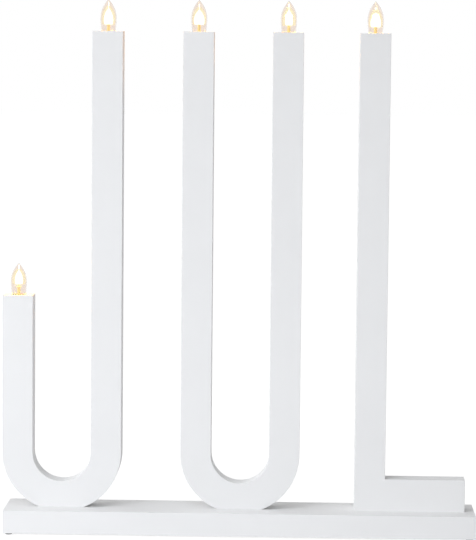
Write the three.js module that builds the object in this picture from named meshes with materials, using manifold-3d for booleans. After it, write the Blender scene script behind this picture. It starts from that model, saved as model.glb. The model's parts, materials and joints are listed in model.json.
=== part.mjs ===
// Electric candlestick of painted board: a flat base, three upright boards cut like a J, a U and an L, and
// five screw-in candle lamps on their ends. Millimetres, +X along the base, +Y to the back, +Z up.
// The origin is on the floor, under the middle of the whole outline.

import * as THREE from 'three';
import { mergeVertices } from 'three/addons/utils/BufferGeometryUtils.js';
import Module from 'manifold-3d';

const wasm = await Module();
wasm.setup();

// Clearance between pieces that fit into or over each other.
const fitGap = 0.3;

// Base board and the pads under its corners.
const baseLength = 450;
const baseDepth = 66;
const baseThickness = 22;
const padRadius = 3.3;
const padThickness = 1.5;
const padInset = 5.5; // pad centre to the edges of the base

// Uprights, all cut from one board thickness.
const boardThickness = 22;
const backSetback = 20; // uprights' back to the base's back
const armWidth = 29.2;
const armGap = 55.7; // between the two arms of the J and of the U
const tallHeight = 455.5;
const shortHeight = 203.5; // left arm of the J
const footCut = 4.2; // taken off the round bottom of a bend so that it stands flat
const angleLength = 105.6; // foot of the L, its arm included
const angleHeight = 30.8; // of that foot
const leftOverhang = 3; // the J stands out past the base's left end
const rightMargin = 9.5; // the L stops short of the base's right end

// Leads, the grooves in the uprights' backs, and the strips that close them.
const leadRadius = 0.9;
const stripWidth = 10;
const stripThickness = 1.5;
const stripLap = 4; // strip above the upper end of its groove
const leadBend = 1.6; // length of lead taken up on each side of a corner

// Channel under the base, its cover, and the cord inlet in the base's back.
const channelWidth = 13;
const channelDepth = 11;
const channelEnd = 8; // channel past the outermost lead holes
const coverThickness = 2.5;
const coverLap = 3; // cover past each side of the channel
const inletOffset = 32; // from the J's lead hole towards the U
const inletRadius = 3.1;
const grommetWall = 1.2;
const flangeRadius = 6.2;
const flangeThickness = 1.2;

// Wood screws up through the base.
const screwRadius = 2;
const screwHeadRadius = 4;
const screwHeadHeight = 2.6;
const screwBite = 18; // length of screw inside the upright
const screwPoint = 4;
const screwSink = 0.5; // head below the base's underside
const screwSetback = 6.5; // upright's front to the row of screws
const screwSpread = 14; // each side of a bend's centre, and from the L's ends
const slotWidth = 1;
const slotLength = 5.6;
const slotDepth = 1.2;

// Socket at the end of each arm. Heights are measured down from the arm's end.
const boreRadius = 7.6;
const boreDepth = 34;
const windowHeight = 7; // opening from the bore's lower end into the groove
const holderSink = 5;
const holderWall = 1.5;
const webThickness = 3;
const skirtLength = 3;
const sleeveWall = 0.45;
const rivetHeadRadius = 2.2;
const rivetHeadHeight = 0.8;
const rivetRadius = 1;
const rivetTail = 1.1;
const terminalSide = 1.9; // side lead's terminal, left of the holder's middle

// Lamp. Its screw thread is the ten millimetre lamp thread, 14 turns to the inch.
const threadPitch = 25.4 / 14;
const threadRadius = 4.765;
const threadDepth = 0.51;
const threadGap = 0.25; // between the cap's thread and the sleeve's
const capLength = 9.5;
const capRim = 1.2;
const capRimRadius = 5.2;
const capWall = 0.36;
const capFloor = 0.6;
const tipHeight = 2;
const tipRadius = 3.4;
const buttonRadius = 1.6;
const buttonHeight = 1;
const glassHeight = 30; // above the arm's end
const glassRadius = 7.7;
const glassSeatRadius = 6.8; // at the arm's end
const glassBelly = 12.5; // height of the widest place
const glassWall = 0.6;
const neckLength = 3; // of glass inside the cap
const stemRadius = 1.5;
const stemHeight = 7.5; // above the arm's end
const diskRadius = 3;
const filamentRadius = 0.55;
const filamentHeight = 14;

// Places worked out from the sizes above.
const outerRadius = armGap / 2 + armWidth;
const innerRadius = armGap / 2;
const trackRadius = (outerRadius + innerRadius) / 2;
const springHeight = outerRadius - footCut;
const baseTop = padThickness + baseThickness;
const uprightBack = baseDepth / 2 - backSetback;
const uprightFront = uprightBack - boardThickness;
const uprightMiddle = (uprightFront + uprightBack) / 2;
const jCentre = -baseLength / 2 - leftOverhang + outerRadius;
const uCentre = 0;
const lArm = baseLength / 2 - rightMargin - angleLength + armWidth / 2;

const laneOffset = leadRadius + fitGap / 2;
const grooveHalf = 2 * leadRadius + 1.5 * fitGap;
const grooveDepth = 2 * (leadRadius + fitGap);
const leadY = uprightBack - stripThickness - fitGap - leadRadius;
const leadFloor = padThickness + coverThickness + fitGap + leadRadius;
const returnY = leadY + 4 * leadRadius; // second row of leads in the channel
const leadHoleRadius = laneOffset + leadRadius + fitGap;

const holderRadius = boreRadius - fitGap;
const cavityRadius = holderRadius - holderWall;
const terminalRadius = cavityRadius - leadRadius - fitGap;
const terminalBack = Math.sqrt(terminalRadius ** 2 - terminalSide ** 2);
const capTop = -holderSink;
const capBottom = capTop - capLength;
const tipBottom = capBottom - fitGap - tipHeight;
const webTop = tipBottom - fitGap - rivetHeadHeight;
const webBottom = webTop - webThickness;
const sleeveTop = capTop - capRim - fitGap;
const sleeveBottom = webTop + fitGap;
const windowMiddle = -boreDepth + windowHeight / 2;

// Solids

function toSolid(geometry) {
  const bare = geometry.clone();
  bare.deleteAttribute('normal');
  bare.deleteAttribute('uv');
  const merged = mergeVertices(bare, 1e-4);
  const corners = merged.index.array;
  const triangles = [];
  for (let i = 0; i < corners.length; i += 3) {
    const [a, b, c] = corners.subarray(i, i + 3);
    if (a !== b && b !== c && c !== a) triangles.push(a, b, c);
  }
  return new wasm.Manifold(new wasm.Mesh({
    numProp: 3,
    vertProperties: new Float32Array(merged.attributes.position.array),
    triVerts: new Uint32Array(triangles),
  }));
}

function toGeometry(solid) {
  const { vertProperties, triVerts } = solid.getMesh();
  const geometry = new THREE.BufferGeometry();
  geometry.setAttribute('position', new THREE.BufferAttribute(vertProperties, 3));
  geometry.setIndex(new THREE.BufferAttribute(triVerts, 1));
  return geometry;
}

function cut(body, ...tools) {
  return toGeometry(tools.reduce((solid, tool) => solid.subtract(toSolid(tool)), toSolid(body)));
}

function join(...bodies) {
  return toGeometry(bodies.map(toSolid).reduce((solid, body) => solid.add(body)));
}

function overlap(body, other) {
  return toGeometry(toSolid(body).intersect(toSolid(other)));
}

// A box from its lowest corner to its highest.
function block(low, high) {
  const size = high.map((value, axis) => value - low[axis]);
  const middle = high.map((value, axis) => (value + low[axis]) / 2);
  return new THREE.BoxGeometry(...size).translate(...middle);
}

// A round bar along Z, from low to high.
function bar(radius, low, high, sides = 12) {
  return new THREE.CylinderGeometry(radius, radius, high - low, sides)
    .rotateX(Math.PI / 2)
    .translate(0, 0, (low + high) / 2);
}

// A round solid about Z, from [radius, height] points that go up its outside.
function turned(profile, sides) {
  return new THREE.LatheGeometry(profile.map(([radius, height]) => new THREE.Vector2(radius, height)), sides)
    .rotateX(Math.PI / 2);
}

// A flat outline in X and Z, given a thickness towards the front from the plane y = back.
function sawn(shape, back, thickness) {
  return new THREE.ExtrudeGeometry(shape, { depth: thickness, bevelEnabled: false, curveSegments: 8 })
    .rotateX(Math.PI / 2)
    .translate(0, back, 0);
}

function rectangle(left, right, bottom, top) {
  const shape = new THREE.Shape();
  shape.moveTo(left, bottom);
  shape.lineTo(right, bottom);
  shape.lineTo(right, top);
  shape.lineTo(left, top);
  return shape;
}

// Two arms joined by a half ring, all of one width, about the bend's centre line.
function bend(half, leftTop, rightTop) {
  const outer = trackRadius + half;
  const inner = trackRadius - half;
  const stand = Math.acos(Math.min(1, springHeight / outer));
  const shape = new THREE.Shape();
  shape.moveTo(-outer, leftTop);
  shape.lineTo(-outer, springHeight);
  if (stand > 0) {
    shape.absarc(0, springHeight, outer, Math.PI, 1.5 * Math.PI - stand, false);
    shape.absarc(0, springHeight, outer, 1.5 * Math.PI + stand, 2 * Math.PI, false);
  } else {
    shape.absarc(0, springHeight, outer, Math.PI, 2 * Math.PI, false);
  }
  shape.lineTo(outer, rightTop);
  shape.lineTo(inner, rightTop);
  shape.lineTo(inner, springHeight);
  shape.absarc(0, springHeight, inner, 2 * Math.PI, Math.PI, true);
  shape.lineTo(-inner, leftTop);
  return shape;
}

// A bar with a screw thread along Z, cut to length from a longer one. Two bars made so are in step,
// wherever they begin.
function threadedBar(crest, depth, low, high, sides = 12) {
  const start = threadPitch * Math.floor(low / threadPitch - 1.5);
  const rows = 2 * Math.ceil((high - start) / threadPitch + 1.5);
  const at = (side, row) => (side === sides ? at(0, row + 2) : row * sides + side);
  const points = [];
  for (let row = 0; row <= rows + 2; row += 1) {
    for (let side = 0; side < sides; side += 1) {
      const turn = side / sides;
      const radius = row % 2 === 0 ? crest : crest - depth;
      const angle = 2 * Math.PI * turn;
      points.push(radius * Math.cos(angle), radius * Math.sin(angle), start + threadPitch * (row / 2 + turn));
    }
  }
  const foot = points.length / 3;
  points.push(0, 0, start);
  const head = foot + 1;
  points.push(0, 0, start + threadPitch * (rows / 2 + 1));
  const faces = [];
  for (let row = 0; row < rows; row += 1) {
    for (let side = 0; side < sides; side += 1) {
      const [a, b, c, d] = [at(side, row), at(side + 1, row), at(side + 1, row + 1), at(side, row + 1)];
      faces.push(a, b, c, a, c, d);
    }
  }
  for (let side = 0; side < sides; side += 1) {
    faces.push(foot, at(side + 1, 0), at(side, 0));
    faces.push(head, at(side, rows), at(side + 1, rows));
  }
  for (let row = 0; row < 2; row += 1) {
    faces.push(foot, at(0, row), at(0, row + 1));
    faces.push(head, at(0, rows + row + 1), at(0, rows + row));
  }
  const geometry = new THREE.BufferGeometry();
  geometry.setAttribute('position', new THREE.Float32BufferAttribute(points, 3));
  geometry.setIndex(faces);
  return overlap(geometry, block([-2 * crest, -2 * crest, low], [2 * crest, 2 * crest, high]));
}

// A lead along its corner points. Corners sharper than a slight turn, in radians, are rounded off.
const slightTurn = 0.3;

function lead(corners) {
  const points = [corners[0]];
  for (let i = 1; i < corners.length - 1; i += 1) {
    const [before, corner, after] = corners.slice(i - 1, i + 2);
    const room = Math.min(leadBend, before.distanceTo(corner) / 2, corner.distanceTo(after) / 2);
    const enter = corner.clone().add(before.clone().sub(corner).setLength(room));
    const leave = corner.clone().add(after.clone().sub(corner).setLength(room));
    const turn = enter.clone().sub(before).angleTo(after.clone().sub(leave));
    if (turn < slightTurn) points.push(corner);
    else points.push(...new THREE.QuadraticBezierCurve3(enter, corner, leave).getPoints(3));
  }
  points.push(corners.at(-1));

  const sides = 8;
  const rings = [];
  const normal = new THREE.Vector3();
  points.forEach((point, i) => {
    const from = points[Math.max(i - 1, 0)];
    const to = points[Math.min(i + 1, points.length - 1)];
    const along = to.clone().sub(from).normalize();
    if (i === 0) normal.set(along.y, along.z, along.x).cross(along).normalize();
    normal.addScaledVector(along, -normal.dot(along)).normalize();
    const other = along.clone().cross(normal);
    for (let side = 0; side < sides; side += 1) {
      const angle = 2 * Math.PI * side / sides;
      rings.push(point.clone()
        .addScaledVector(normal, leadRadius * Math.cos(angle))
        .addScaledVector(other, leadRadius * Math.sin(angle)));
    }
  });
  const faces = [];
  for (let ring = 0; ring < points.length - 1; ring += 1) {
    for (let side = 0; side < sides; side += 1) {
      const a = ring * sides + side;
      const b = ring * sides + (side + 1) % sides;
      faces.push(a, b, b + sides, a, b + sides, a + sides);
    }
  }
  const last = (points.length - 1) * sides;
  for (let side = 1; side < sides - 1; side += 1) {
    faces.push(0, side + 1, side);
    faces.push(last, last + side, last + side + 1);
  }
  const geometry = new THREE.BufferGeometry().setFromPoints(rings);
  geometry.setIndex(faces);
  return geometry;
}

// Finishes

const finish = (color, roughness, metalness = 0) => new THREE.MeshStandardMaterial({ color, roughness, metalness });
const whitePaint = finish('#f1f1f0', 0.5);
const greyFelt = finish('#9a9a98', 0.95);
const hardboard = finish('#8a6a4a', 0.8);
const zincPlate = finish('#c9c9c4', 0.35, 1);
const whitePlastic = finish('#ecebe6', 0.4);
const blackRubber = finish('#232323', 0.7);
const brass = finish('#c9a356', 0.3, 1);
const solder = finish('#a9abad', 0.4, 1);
const leadPlastic = finish('#e9e7e0', 0.5);
const lampGlass = finish('#ffe9cf', 0.05);
const filamentGlow = finish('#ffd9a0', 0.3);
lampGlass.transparent = true;
lampGlass.opacity = 0.35;

function piece(name, geometry, material, x = 0, y = 0, z = 0) {
  const mesh = new THREE.Mesh(geometry, material);
  mesh.name = name;
  mesh.position.set(x, y, z);
  return mesh;
}

// Base

const leadHoles = [jCentre, uCentre, lArm];
const inletX = jCentre + inletOffset;
const channelLeft = jCentre - channelEnd;
const channelRight = lArm + channelEnd;
const channelFront = leadY - leadHoleRadius - fitGap;
const channelBack = channelFront + channelWidth;
const inletZ = padThickness + (coverThickness + channelDepth) / 2;
const backWall = baseDepth / 2 - channelBack; // board left between the channel and the back
const grommetLength = backWall - coverLap - fitGap; // stops short of the cover
const screwY = uprightFront + screwSetback;
const screwXs = [
  jCentre - screwSpread, jCentre + screwSpread,
  uCentre - screwSpread, uCentre + screwSpread,
  lArm - armWidth / 2 + screwSpread, lArm - armWidth / 2 + angleLength - screwSpread,
];
const screwFoot = padThickness + screwSink;
const screwTop = baseTop + screwBite;

function channelPlate(low, high, grow) {
  return block(
    [channelLeft - grow, channelFront - grow, low],
    [channelRight + grow, channelBack + grow, high],
  );
}

function baseBoard() {
  const back = baseDepth / 2;
  const inlet = bar(inletRadius + grommetWall + fitGap, 0, backWall + 1)
    .rotateX(Math.PI / 2).translate(inletX, back, inletZ);
  const flangeSeat = bar(flangeRadius + fitGap, -1, flangeThickness)
    .rotateX(Math.PI / 2).translate(inletX, back, inletZ);
  const countersink = turned([
    [0, -1], [screwHeadRadius + fitGap, -1], [screwHeadRadius + fitGap, screwSink],
    [screwRadius + fitGap, screwSink + screwHeadHeight], [screwRadius + fitGap, baseThickness + 1],
    [0, baseThickness + 1],
  ], 12);
  return cut(
    block([-baseLength / 2, -back, padThickness], [baseLength / 2, back, baseTop]),
    channelPlate(padThickness - 1, padThickness + coverThickness, coverLap),
    channelPlate(padThickness, padThickness + channelDepth, 0),
    inlet,
    flangeSeat,
    ...leadHoles.map((x) => bar(leadHoleRadius, padThickness, baseTop + 1).translate(x, leadY, 0)),
    ...screwXs.map((x) => countersink.clone().translate(x, screwY, padThickness)),
  );
}

// A flanged tube that lines the way in from the back.
function cordGrommet() {
  const outside = inletRadius + grommetWall;
  return turned([
    [inletRadius, -grommetLength], [outside, -grommetLength], [outside, -flangeThickness],
    [flangeRadius, -flangeThickness], [flangeRadius, 0], [inletRadius, 0], [inletRadius, -grommetLength],
  ], 12).rotateX(-Math.PI / 2);
}

function woodScrew() {
  const length = screwTop - screwFoot;
  const body = turned([
    [0, 0], [screwHeadRadius, 0], [screwRadius, screwHeadHeight],
    [screwRadius, length - screwPoint], [0, length],
  ], 12);
  return cut(
    body,
    block([-slotLength / 2, -slotWidth / 2, -1], [slotLength / 2, slotWidth / 2, slotDepth]),
    block([-slotWidth / 2, -slotLength / 2, -1], [slotWidth / 2, slotLength / 2, slotDepth]),
  );
}

function base() {
  const group = new THREE.Group();
  group.add(piece('base_board', baseBoard(), whitePaint));
  group.add(piece('base_cover', channelPlate(padThickness, padThickness + coverThickness, coverLap - fitGap),
    hardboard));
  group.add(piece('cord_grommet', cordGrommet(), blackRubber, inletX, baseDepth / 2, inletZ));
  const padX = baseLength / 2 - padInset;
  const padY = baseDepth / 2 - padInset;
  [[-padX, -padY], [padX, -padY], [-padX, padY], [padX, padY]].forEach(([x, y], i) => {
    group.add(piece(`pad_${i + 1}`, bar(padRadius, 0, padThickness), greyFelt, x, y));
  });
  screwXs.forEach((x, i) => {
    group.add(piece(`screw_${i + 1}`, woodScrew(), zincPlate, x, screwY, screwFoot));
  });
  return group;
}

// Uprights. Each is drawn about its own lead hole, with z = 0 on the base.

function grooveTop(armTop) {
  return armTop - boreDepth + windowHeight;
}

// Cutters for the socket at an arm's end: the bore, and the window from the bore into the groove.
function socketCuts(x, armTop) {
  return [
    bar(boreRadius, armTop - boreDepth, armTop + 1, 16).translate(x, uprightMiddle, 0),
    block(
      [x - grooveHalf, uprightMiddle, armTop - boreDepth],
      [x + grooveHalf, uprightBack - stripThickness - grooveDepth / 2, armTop - boreDepth + windowHeight],
    ),
  ];
}

function screwHoles(centre, xs) {
  return xs.map((x) => bar(screwRadius + fitGap, -1, screwBite + fitGap, 12).translate(x - centre, screwY, 0));
}

// The groove's route at a given half width, closed at the top of each arm and open at the base.
function bendRoute(half, leftTop, rightTop, foot, back, thickness) {
  const stub = rectangle(-half, half, foot, springHeight - trackRadius);
  return join(sawn(bend(half, leftTop, rightTop), back, thickness), sawn(stub, back, thickness));
}

function bentUpright(name, centre, leftHeight, rightHeight, screws) {
  const leftTop = grooveTop(leftHeight);
  const rightTop = grooveTop(rightHeight);
  const lap = stripLap;
  const rebateDepth = stripThickness;
  const groove = bendRoute(grooveHalf, leftTop, rightTop, -1, uprightBack, rebateDepth + grooveDepth);
  const rebate = bendRoute(stripWidth / 2, leftTop + lap, rightTop + lap, -1, uprightBack + 1, rebateDepth + 1);
  const body = cut(
    sawn(bend(armWidth / 2, leftHeight, rightHeight), uprightBack, boardThickness),
    rebate,
    groove,
    ...socketCuts(-trackRadius, leftHeight),
    ...socketCuts(trackRadius, rightHeight),
    ...screwHoles(centre, screws),
  );
  const top = lap - fitGap;
  const strip = bendRoute(stripWidth / 2 - fitGap, leftTop + top, rightTop + top, fitGap, uprightBack, rebateDepth);
  const group = new THREE.Group();
  group.position.set(centre, 0, baseTop);
  group.add(piece(`${name}_upright`, body, whitePaint));
  group.add(piece(`${name}_strip`, strip, whitePaint));
  return group;
}

function angleUpright(name, centre, height, screws) {
  const left = -armWidth / 2;
  const shape = new THREE.Shape();
  shape.moveTo(left, 0);
  shape.lineTo(left + angleLength, 0);
  shape.lineTo(left + angleLength, angleHeight);
  shape.lineTo(-left, angleHeight);
  shape.lineTo(-left, height);
  shape.lineTo(left, height);
  const top = grooveTop(height);
  const half = stripWidth / 2;
  const rebate = rectangle(-half, half, -1, top + stripLap);
  const groove = rectangle(-grooveHalf, grooveHalf, -1, top);
  const body = cut(
    sawn(shape, uprightBack, boardThickness),
    sawn(rebate, uprightBack + 1, stripThickness + 1),
    sawn(groove, uprightBack, stripThickness + grooveDepth),
    ...socketCuts(0, height),
    ...screwHoles(centre, screws),
  );
  const strip = rectangle(-half + fitGap, half - fitGap, fitGap, top + stripLap - fitGap);
  const group = new THREE.Group();
  group.position.set(centre, 0, baseTop);
  group.add(piece(`${name}_upright`, body, whitePaint));
  group.add(piece(`${name}_strip`, sawn(strip, uprightBack, stripThickness), whitePaint));
  return group;
}

// Sockets and lamps, drawn with z = 0 at the arm's end.

function lampHolder() {
  const bottom = webBottom - skirtLength;
  const body = turned([
    [0, webBottom], [cavityRadius, webBottom], [cavityRadius, bottom], [holderRadius, bottom],
    [holderRadius, capTop], [cavityRadius, capTop], [cavityRadius, webTop], [0, webTop],
  ], 14);
  return cut(
    body,
    bar(rivetRadius + fitGap, webBottom - 1, webTop + 1, 8),
    bar(leadRadius + fitGap, webBottom - 1, webTop + 1, 10).translate(-terminalSide, terminalBack, 0),
  );
}

function threadedSleeve() {
  const inside = threadRadius + threadGap;
  return cut(
    bar(inside + sleeveWall, sleeveBottom, sleeveTop),
    threadedBar(inside, threadDepth, sleeveBottom - 1, sleeveTop + 1),
  );
}

function contactRivet() {
  return turned([
    [0, webBottom - rivetTail], [rivetRadius, webBottom - rivetTail], [rivetRadius, webTop],
    [rivetHeadRadius, webTop], [rivetHeadRadius, webTop + rivetHeadHeight / 2],
    [0, webTop + rivetHeadHeight],
  ], 12);
}

const capBore = threadRadius - threadDepth - capWall;
const neckRadius = capBore - fitGap;

function screwCap() {
  const shell = join(
    threadedBar(threadRadius, threadDepth, capBottom, capTop - capRim / 2),
    bar(capRimRadius, capTop - capRim, capTop),
  );
  return cut(shell, bar(capBore, capBottom + capFloor, capTop + 1));
}

function contactTip() {
  return turned([
    [0, tipBottom], [buttonRadius, tipBottom + buttonHeight / 2], [buttonRadius, tipBottom + buttonHeight],
    [tipRadius, tipBottom + tipHeight], [0, tipBottom + tipHeight],
  ], 12);
}

// Half outline of the glass from the arm's end to its tip, drawn in by a wall's thickness for its inside.
function glassOutline(inset, tip) {
  const seat = glassSeatRadius - inset;
  const belly = glassRadius - inset;
  const at = (radius, height) => new THREE.Vector2(radius, height);
  const lower = new THREE.CubicBezierCurve(
    at(seat, 0), at((seat + belly) / 2, glassBelly / 3), at(belly, 2 * glassBelly / 3), at(belly, glassBelly),
  );
  const upper = new THREE.CubicBezierCurve(
    at(belly, glassBelly), at(belly, glassBelly + 0.38 * (tip - glassBelly)),
    at(0.62 * belly, glassBelly + 0.72 * (tip - glassBelly)), at(0, tip),
  );
  return [...lower.getPoints(2), ...upper.getPoints(6).slice(1)].map(({ x, y }) => [x, y]);
}

function lampGlassBody() {
  const shoulder = capTop + fitGap;
  const neckFoot = capTop - neckLength;
  const neckInside = neckRadius - glassWall;
  return turned([
    ...glassOutline(glassWall, glassHeight - 2 * glassWall).reverse(),
    [neckInside, shoulder], [neckInside, neckFoot], [neckRadius, neckFoot], [neckRadius, shoulder],
    [capRimRadius - glassWall, shoulder],
    ...glassOutline(0, glassHeight),
  ], 12);
}

function lampStem() {
  const foot = capTop - neckLength;
  const disk = glassWall;
  return turned([
    [0, foot], [neckRadius - glassWall - fitGap, foot], [neckRadius - glassWall - fitGap, foot + disk],
    [stemRadius, foot + 3 * disk], [stemRadius, stemHeight - disk], [diskRadius, stemHeight - disk],
    [diskRadius, stemHeight], [filamentRadius, stemHeight + disk],
    [filamentRadius, stemHeight + filamentHeight], [0, stemHeight + filamentHeight + filamentRadius],
  ], 10);
}

function lampOnArm(number, x, armTop) {
  const group = new THREE.Group();
  group.position.set(x, uprightMiddle, baseTop + armTop);
  group.add(piece(`holder_${number}`, lampHolder(), whitePlastic));
  group.add(piece(`sleeve_${number}`, threadedSleeve(), brass));
  group.add(piece(`contact_${number}`, contactRivet(), brass));
  group.add(piece(`cap_${number}`, screwCap(), brass));
  group.add(piece(`tip_${number}`, contactTip(), solder));
  group.add(piece(`glass_${number}`, lampGlassBody(), lampGlass));
  group.add(piece(`stem_${number}`, lampStem(), filamentGlow));
  return group;
}

// Leads. The lamps are in series, so each arm holds two leads: the one on the lane at its left runs to
// the socket's side terminal, the one at its right to the centre contact.

const arms = [
  { x: jCentre - trackRadius, top: shortHeight },
  { x: jCentre + trackRadius, top: tallHeight },
  { x: uCentre - trackRadius, top: tallHeight },
  { x: uCentre + trackRadius, top: tallHeight },
  { x: lArm, top: tallHeight },
];

const point = (x, y, z) => new THREE.Vector3(x, y, z);

// From the groove up into the socket's side terminal (side -1) or to its centre contact (side +1).
function armEnd(arm, side) {
  const lane = arm.x + side * laneOffset;
  const armZ = baseTop + arm.top;
  const level = armZ + windowMiddle;
  const [x, y, top] = side < 0
    ? [arm.x - terminalSide, uprightMiddle + terminalBack, sleeveBottom - fitGap]
    : [arm.x, uprightMiddle, webBottom - rivetTail - fitGap];
  return [point(lane, leadY, level), point(x, y, level), point(x, y, armZ + top)];
}

// Along the groove's half ring about a centre, on the outer (+1) or inner (-1) lane, between two angles.
function ringPoints(centre, lane, from, to) {
  const count = Math.round(Math.abs(to - from) / (Math.PI / 16));
  return Array.from({ length: count + 1 }, (_, i) => {
    const angle = from + (to - from) * i / count;
    const radius = trackRadius + lane * laneOffset;
    return point(centre + radius * Math.cos(angle), leadY, baseTop + springHeight + radius * Math.sin(angle));
  });
}

// Up from the base, round the bend and up to a socket: side -1 is the left arm, +1 the right.
function outerRun(centre, arm, side) {
  const bottom = 1.5 * Math.PI;
  const turnOff = 0.12; // angle of ring taken up by the turn out of the hole
  return [
    point(centre + side * laneOffset, leadY, leadFloor),
    point(centre + side * laneOffset, leadY, baseTop + springHeight - trackRadius - laneOffset),
    ...ringPoints(centre, 1, bottom + side * turnOff, bottom + side * Math.PI / 2),
    ...armEnd(arm, side),
  ];
}

// From one socket of a bend to the other, on the inner lane.
function innerRun(centre, left, right) {
  return [
    ...armEnd(left, 1).reverse(),
    ...ringPoints(centre, -1, Math.PI, 2 * Math.PI),
    ...armEnd(right, -1),
  ];
}

function straightRun(arm, side) {
  return [point(arm.x + side * laneOffset, leadY, leadFloor), ...armEnd(arm, side)];
}

// In the channel, from a lead hole back to the second row and along it to where the cord comes in.
function toInlet(x, side) {
  const aside = side * (inletRadius + leadRadius + fitGap);
  return [point(inletX + aside, returnY, leadFloor), point(x, returnY, leadFloor)];
}

function leads() {
  const [jShort, jTall, uLeft, uRight, lTall] = arms;
  const routes = [
    [...toInlet(jCentre - laneOffset, -1), ...outerRun(jCentre, jShort, -1)],
    innerRun(jCentre, jShort, jTall),
    [...outerRun(jCentre, jTall, 1).reverse(), ...outerRun(uCentre, uLeft, -1)],
    innerRun(uCentre, uLeft, uRight),
    [...outerRun(uCentre, uRight, 1).reverse(), ...straightRun(lTall, -1)],
    [...straightRun(lTall, 1).reverse(), ...toInlet(lArm + laneOffset, 1).reverse()],
  ];
  const group = new THREE.Group();
  routes.forEach((route, i) => group.add(piece(`lead_${i + 1}`, lead(route), leadPlastic)));
  return group;
}

const candlestick = new THREE.Group();
candlestick.name = 'candlestick';
candlestick.position.x = leftOverhang / 2;
candlestick.add(base());
candlestick.add(bentUpright('j', jCentre, shortHeight, tallHeight, screwXs.slice(0, 2)));
candlestick.add(bentUpright('u', uCentre, tallHeight, tallHeight, screwXs.slice(2, 4)));
candlestick.add(angleUpright('l', lArm, tallHeight, screwXs.slice(4)));
arms.forEach((arm, i) => candlestick.add(lampOnArm(i + 1, arm.x, arm.top)));
candlestick.add(leads());

export default candlestick;
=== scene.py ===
"""The looks of an electric candlestick: a painted base, three sawn uprights and five lit candle lamps."""
import json
import math

import bmesh
import bpy
from mathutils import Matrix, Vector

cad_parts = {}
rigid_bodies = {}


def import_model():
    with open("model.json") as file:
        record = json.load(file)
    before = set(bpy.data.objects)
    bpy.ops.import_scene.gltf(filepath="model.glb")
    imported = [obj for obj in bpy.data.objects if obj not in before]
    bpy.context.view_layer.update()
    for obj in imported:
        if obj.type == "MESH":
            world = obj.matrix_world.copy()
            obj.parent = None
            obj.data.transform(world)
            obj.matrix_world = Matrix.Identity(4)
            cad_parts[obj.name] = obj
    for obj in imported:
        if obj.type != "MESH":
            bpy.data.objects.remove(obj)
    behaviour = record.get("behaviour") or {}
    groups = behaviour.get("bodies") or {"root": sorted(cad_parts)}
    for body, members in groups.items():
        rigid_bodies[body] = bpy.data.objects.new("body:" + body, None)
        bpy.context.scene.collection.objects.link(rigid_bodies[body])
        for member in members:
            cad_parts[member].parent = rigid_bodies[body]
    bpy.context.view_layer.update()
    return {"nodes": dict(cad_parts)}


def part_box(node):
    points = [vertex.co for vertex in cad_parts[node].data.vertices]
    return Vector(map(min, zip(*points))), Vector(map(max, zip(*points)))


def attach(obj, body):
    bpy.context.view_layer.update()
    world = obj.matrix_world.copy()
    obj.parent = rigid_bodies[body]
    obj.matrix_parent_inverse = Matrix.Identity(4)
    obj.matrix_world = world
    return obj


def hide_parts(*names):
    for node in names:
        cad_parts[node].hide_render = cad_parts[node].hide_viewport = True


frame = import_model()
mm = 0.001

# Camera
# It stands 2.4 m in front of the base, a little right of its middle and nearly as high as the lamps. It
# looks slightly down, through a long lens.
camera = bpy.data.objects.new("camera", bpy.data.cameras.new("camera"))
bpy.context.scene.collection.objects.link(camera)
camera.data.lens = 167.19
camera.matrix_world = (
    Matrix.Translation(Vector((60, -2383, 465)) * mm)
    @ Matrix.Rotation(math.radians(1.492), 4, "Z")
    @ Matrix.Rotation(math.radians(90 - 5.084), 4, "X")
    @ Matrix.Rotation(math.radians(0.521), 4, "Z")
)
bpy.context.scene.camera = camera
bpy.context.scene.view_settings.view_transform = "Standard"


# Table top, background and studio light
# A white sweep, lit by soft light from all round that fades to the right, and by four lamps. It is white to
# the camera and in glass and metal, and the candlestick's shadow stays on the table.
def linear(sheet_colour):
    """An sRGB hex colour as the linear red, green, blue and alpha of a shader's socket."""
    parts = [int(sheet_colour[i:i + 2], 16) / 255 for i in (1, 3, 5)]
    return (*[p / 12.92 if p <= 0.04045 else ((p + 0.055) / 1.055) ** 2.4 for p in parts], 1)


def add_node(tree, kind, inputs=None, **settings):
    """Adds a shader node. Each input gets a plain value, or is linked to the output given for it."""
    node = tree.nodes.new("ShaderNode" + kind)
    for name, value in settings.items():
        setattr(node, name, value)
    for name, value in (inputs or {}).items():
        if isinstance(value, bpy.types.NodeSocket):
            tree.links.new(value, node.inputs[name])
        else:
            node.inputs[name].default_value = value
    return node


def empty_material(name):
    """A new material without nodes, and its node tree."""
    material = bpy.data.materials.new(name)
    material.use_nodes = True
    material.node_tree.nodes.clear()
    return material, material.node_tree


def surfaced(material, shader):
    """Makes a shader the surface of its material."""
    add_node(material.node_tree, "OutputMaterial", {"Surface": shader.outputs[0]})
    return material


def seen_directly(tree):
    """1 for rays from the camera, off gloss or through glass, and 0 for light that is only scattered."""
    path = add_node(tree, "LightPath")
    seen = path.outputs["Is Camera Ray"]
    for other in ("Is Glossy Ray", "Is Transmission Ray"):
        seen = add_node(tree, "Math", {0: seen, 1: path.outputs[other]}, operation="MAXIMUM").outputs[0]
    return seen


world = bpy.context.scene.world = bpy.data.worlds.new("studio")
world.use_nodes = True
tree = world.node_tree
tree.nodes.clear()
across = add_node(tree, "SeparateXYZ", {"Vector": add_node(tree, "TexCoord").outputs["Generated"]})
level = add_node(tree, "MapRange", {
    "Value": across.outputs["X"], "From Min": -1, "To Min": 1.0, "To Max": 0.03})
soft = add_node(tree, "Background", {"Color": linear("#ffffff"), "Strength": level.outputs["Result"]})
white = add_node(tree, "Background", {"Color": linear("#ffffff"), "Strength": 1.0})
sky = add_node(tree, "MixShader", {0: seen_directly(tree), 1: soft.outputs[0], 2: white.outputs[0]})
add_node(tree, "OutputWorld", {"Surface": sky.outputs[0]})

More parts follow.
